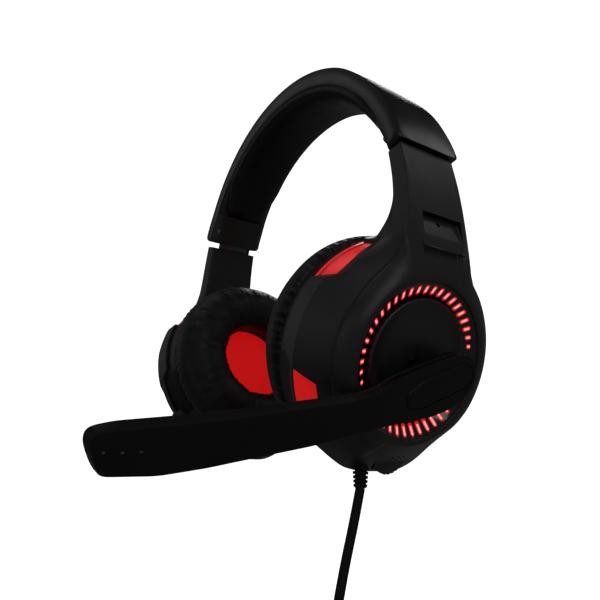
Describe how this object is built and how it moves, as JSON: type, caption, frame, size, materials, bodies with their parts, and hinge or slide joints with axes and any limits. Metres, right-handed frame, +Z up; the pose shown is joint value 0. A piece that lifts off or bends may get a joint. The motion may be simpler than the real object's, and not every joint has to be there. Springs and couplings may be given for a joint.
{
  "type": "gaming headset",
  "caption": "Over-ear wired gaming headset: padded arch headband, sliding arms, round padded ear cups with red lit rings, swinging boom microphone and put-away cable.",
  "frame": {"origin": "middle of the crown pad's underside, where a head or a stand carries the headset", "axes": "+X to the wearer's left, where the boom is; -Y to the front; +Z up"},
  "size_m": [0.1932, 0.1766, 0.385],
  "materials": {
    "black_plastic": "satin",
    "board": "solder mask",
    "film": "clear film",
    "grey_gloss": "gloss",
    "leatherette": "puckered leatherette over foam",
    "light_red": "translucent",
    "magnet": "plated",
    "metal": "nickel",
    "red_cloth": "woven",
    "red_plastic": "gloss",
    "rubber": "matt",
    "screw_steel": "black zinc",
    "steel": "black oxide"
  },
  "bodies": {
    "headband": {"band_rivets": "steel", "band_spring": "steel", "guide_screws": "screw_steel", "headband_liner": "black_plastic", "headband_pad": "leatherette", "headband_shell": "black_plastic", "left_slider_guide": "black_plastic", "right_slider_guide": "black_plastic"},
    "left_cup": {"cable": "rubber", "cable_coil": "rubber", "cable_strain_relief": "rubber", "cable_tail": "rubber", "coil_tie": "rubber", "left_accent_ring": "red_plastic", "left_arm_cover": "black_plastic", "left_baffle": "black_plastic", "left_control_board": "board", "left_cup_housing": "black_plastic", "left_cushion": "leatherette", "left_cushion_plate": "black_plastic", "left_driver_basket": "black_plastic", "left_driver_diaphragm": "film", "left_driver_magnet": "magnet", "left_housing_screws": "screw_steel", "left_light_board": "board", "left_light_guide": "light_red", "left_outer_shell": "black_plastic", "left_ring_bezel": "grey_gloss", "left_slider": "steel", "left_slider_screws": "screw_steel", "left_speaker_cloth": "red_cloth", "usb_contact_shell": "metal", "usb_plug": "rubber", "volume_control": "board"},
    "right_cup": {"right_accent_ring": "red_plastic", "right_arm_cover": "black_plastic", "right_baffle": "black_plastic", "right_cup_housing": "black_plastic", "right_cushion": "leatherette", "right_cushion_plate": "black_plastic", "right_driver_basket": "black_plastic", "right_driver_diaphragm": "film", "right_driver_magnet": "magnet", "right_housing_screws": "screw_steel", "right_hub_cap": "grey_gloss", "right_light_board": "board", "right_light_guide": "light_red", "right_outer_shell": "black_plastic", "right_ring_bezel": "grey_gloss", "right_slider": "steel", "right_slider_screws": "screw_steel", "right_speaker_cloth": "red_cloth"},
    "boom": {"boom_hub": "grey_gloss", "boom_shaft": "steel", "boom_clip": "steel", "boom_back": "black_plastic", "boom_front": "black_plastic", "boom_plate": "grey_gloss", "mic_capsule": "metal"},
    "volume_wheel": {"volume_wheel": "black_plastic"}
  },
  "joints": [
    {"name": "left_slider", "type": "slide", "parent": "headband", "child": "left_cup", "axis": [0.2756, 0, -0.9613], "range_m": [0, 0.018]},
    {"name": "right_slider", "type": "slide", "parent": "headband", "child": "right_cup", "axis": [-0.2756, 0, -0.9613], "range_m": [-0.003, 0.015]},
    {"name": "boom_pivot", "type": "hinge", "parent": "left_cup", "child": "boom", "pos_m": [0.07616, 0, -0.13928], "axis": [0.9563, 0, -0.2924], "range_deg": [-95, 20]},
    {"name": "volume_turn", "type": "hinge", "parent": "left_cup", "child": "volume_wheel", "pos_m": [0.06049, 0.005, -0.17788], "axis": [0.9563, 0, -0.2924], "range_deg": [-140, 140]}
  ]
}
